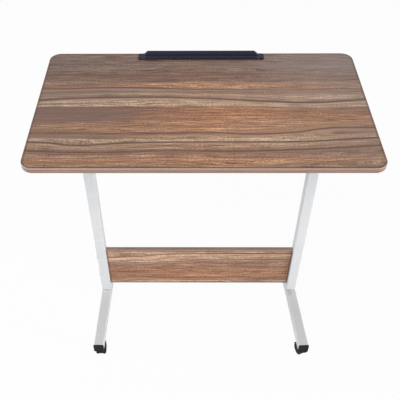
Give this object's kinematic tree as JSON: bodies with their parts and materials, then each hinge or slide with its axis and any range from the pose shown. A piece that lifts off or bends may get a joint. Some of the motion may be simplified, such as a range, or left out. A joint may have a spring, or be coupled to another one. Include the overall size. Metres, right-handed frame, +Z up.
{
  "type": "laptop side table",
  "caption": "Rectangular wood-look laptop table on two telescopic square-tube columns, with a tablet ledge, a low cross panel and casters.",
  "frame": {"origin": "on the floor, under the middle of the tabletop", "axes": "+X to the right along the tabletop, +Y towards the edge with the tablet ledge, +Z up"},
  "size_m": [0.7, 0.4, 0.7115],
  "materials": {
    "wood_face": "wood-grain faced particle board, satin",
    "wood_edge": "wood-grain plastic edge band",
    "white_steel": "white powder coat",
    "black_plastic": "moulded black plastic",
    "black_wheel": "moulded black nylon",
    "black_screw": "blackened steel",
    "zinc_steel": "zinc plated",
    "white_nylon": "natural nylon"
  },
  "bodies": {
    "base": {"foot_welds": "white_steel", "clamp_nuts": "white_steel", "lower_panel": "wood_face", "panel_edge_band": "wood_edge", "panel_bolts": "zinc_steel", "panel_cross_dowels": "zinc_steel", "stem_nuts": "zinc_steel", "column_tube_left": "white_steel", "column_collar_left": "black_plastic", "foot_tube_left": "white_steel", "foot_cap_front_left": "black_plastic", "caster_stem_front_left": "zinc_steel", "foot_cap_rear_left": "black_plastic", "caster_stem_rear_left": "zinc_steel", "column_tube_right": "white_steel", "column_collar_right": "black_plastic", "foot_tube_right": "white_steel", "foot_cap_front_right": "black_plastic", "caster_stem_front_right": "zinc_steel", "foot_cap_rear_right": "black_plastic", "caster_stem_rear_right": "zinc_steel"},
    "top": {"tabletop": "wood_face", "tabletop_edge_band": "wood_edge", "tablet_ledge": "black_plastic", "ledge_screws": "black_screw", "arm_end_caps": "black_plastic", "tabletop_screws": "zinc_steel", "insert_nuts": "zinc_steel", "arm_welds": "white_steel", "support_arm_left": "white_steel", "inner_column_left": "white_steel", "inner_column_glide_left": "black_plastic", "support_arm_right": "white_steel", "inner_column_right": "white_steel", "inner_column_glide_right": "black_plastic"},
    "clamp_tip_left": {"clamp_tip_left": "white_nylon"},
    "clamp_screw_left": {"clamp_screw_left": "zinc_steel", "clamp_knob_left": "black_plastic"},
    "caster_front_left": {"caster_hood_front_left": "black_plastic", "caster_axle_front_left": "zinc_steel"},
    "caster_wheel_front_left_a": {"caster_wheel_front_left_a": "black_wheel"},
    "caster_wheel_front_left_b": {"caster_wheel_front_left_b": "black_wheel"},
    "caster_rear_left": {"caster_hood_rear_left": "black_plastic", "caster_axle_rear_left": "zinc_steel"},
    "caster_wheel_rear_left_a": {"caster_wheel_rear_left_a": "black_wheel"},
    "caster_wheel_rear_left_b": {"caster_wheel_rear_left_b": "black_wheel"},
    "brake_pedal_left": {"brake_pedal_rear_left": "black_plastic"},
    "clamp_tip_right": {"clamp_tip_right": "white_nylon"},
    "clamp_screw_right": {"clamp_screw_right": "zinc_steel", "clamp_knob_right": "black_plastic"},
    "caster_front_right": {"caster_hood_front_right": "black_plastic", "caster_axle_front_right": "zinc_steel"},
    "caster_wheel_front_right_a": {"caster_wheel_front_right_a": "black_wheel"},
    "caster_wheel_front_right_b": {"caster_wheel_front_right_b": "black_wheel"},
    "caster_rear_right": {"caster_hood_rear_right": "black_plastic", "caster_axle_rear_right": "zinc_steel"},
    "caster_wheel_rear_right_a": {"caster_wheel_rear_right_a": "black_wheel"},
    "caster_wheel_rear_right_b": {"caster_wheel_rear_right_b": "black_wheel"},
    "brake_pedal_right": {"brake_pedal_rear_right": "black_plastic"}
  },
  "joints": [
    {"name": "height_slide", "type": "slide", "parent": "base", "child": "top", "axis": [0, 0, 1], "range_m": [-0.1, 0.15]},
    {"name": "clamp_left_travel", "type": "slide", "parent": "base", "child": "clamp_tip_left", "axis": [-1, 0, 0], "range_m": [0, 0.0025]},
    {"name": "clamp_left_turn", "type": "hinge", "parent": "clamp_tip_left", "child": "clamp_screw_left", "pos_m": [-0.274, 0, 0.532], "axis": [-1, 0, 0], "range_deg": [0, 720]},
    {"name": "caster_front_left_swivel", "type": "hinge", "parent": "base", "child": "caster_front_left", "pos_m": [-0.26595, -0.15944, 0.04], "axis": [0, 0, 1], "continuous": true},
    {"name": "caster_front_left_wheel_a_roll", "type": "hinge", "parent": "caster_front_left", "child": "caster_wheel_front_left_a", "pos_m": [-0.26595, -0.17044, 0.016], "axis": [1, 0, 0], "continuous": true},
    {"name": "caster_front_left_wheel_b_roll", "type": "hinge", "parent": "caster_front_left", "child": "caster_wheel_front_left_b", "pos_m": [-0.26595, -0.17044, 0.016], "axis": [1, 0, 0], "continuous": true},
    {"name": "caster_rear_left_swivel", "type": "hinge", "parent": "base", "child": "caster_rear_left", "pos_m": [-0.25886, 0.09446, 0.04], "axis": [0, 0, 1], "continuous": true},
    {"name": "caster_rear_left_wheel_a_roll", "type": "hinge", "parent": "caster_rear_left", "child": "caster_wheel_rear_left_a", "pos_m": [-0.25821, 0.08348, 0.016], "axis": [0.9982, 0.0593, 0], "continuous": true},
    {"name": "caster_rear_left_wheel_b_roll", "type": "hinge", "parent": "caster_rear_left", "child": "caster_wheel_rear_left_b", "pos_m": [-0.25821, 0.08348, 0.016], "axis": [0.9982, 0.0593, 0], "continuous": true},
    {"name": "brake_pedal_left_press", "type": "hinge", "parent": "caster_rear_left", "child": "brake_pedal_left", "pos_m": [-0.25777, 0.07613, 0.02417], "axis": [0.9982, 0.0593, 0], "range_deg": [0, 16]},
    {"name": "clamp_right_travel", "type": "slide", "parent": "base", "child": "clamp_tip_right", "axis": [1, 0, 0], "range_m": [0, 0.0025]},
    {"name": "clamp_right_turn", "type": "hinge", "parent": "clamp_tip_right", "child": "clamp_screw_right", "pos_m": [0.274, 0, 0.532], "axis": [1, 0, 0], "range_deg": [0, 720]},
    {"name": "caster_front_right_swivel", "type": "hinge", "parent": "base", "child": "caster_front_right", "pos_m": [0.2729, -0.15909, 0.04], "axis": [0, 0, 1], "continuous": true},
    {"name": "caster_front_right_wheel_a_roll", "type": "hinge", "parent": "caster_front_right", "child": "caster_wheel_front_right_a", "pos_m": [0.2763, -0.16955, 0.016], "axis": [0.9511, 0.309, 0], "continuous": true},
    {"name": "caster_front_right_wheel_b_roll", "type": "hinge", "parent": "caster_front_right", "child": "caster_wheel_front_right_b", "pos_m": [0.2763, -0.16955, 0.016], "axis": [0.9511, 0.309, 0], "continuous": true},
    {"name": "caster_rear_right_swivel", "type": "hinge", "parent": "base", "child": "caster_rear_right", "pos_m": [0.25474, 0.09426, 0.04], "axis": [0, 0, 1], "continuous": true},
    {"name": "caster_rear_right_wheel_a_roll", "type": "hinge", "parent": "caster_rear_right", "child": "caster_wheel_rear_right_a", "pos_m": [0.25419, 0.08327, 0.016], "axis": [0.9987, -0.0506, 0], "continuous": true},
    {"name": "caster_rear_right_wheel_b_roll", "type": "hinge", "parent": "caster_rear_right", "child": "caster_wheel_rear_right_b", "pos_m": [0.25419, 0.08327, 0.016], "axis": [0.9987, -0.0506, 0], "continuous": true},
    {"name": "brake_pedal_right_press", "type": "hinge", "parent": "caster_rear_right", "child": "brake_pedal_right", "pos_m": [0.25382, 0.07592, 0.02417], "axis": [0.9987, -0.0506, 0], "range_deg": [0, 16]}
  ],
  "couplings": [
    {"joint": "clamp_left_travel", "follows": "clamp_left_turn", "m_per_rad": 0.00019894},
    {"joint": "clamp_right_travel", "follows": "clamp_right_turn", "m_per_rad": 0.00019894}
  ]
}
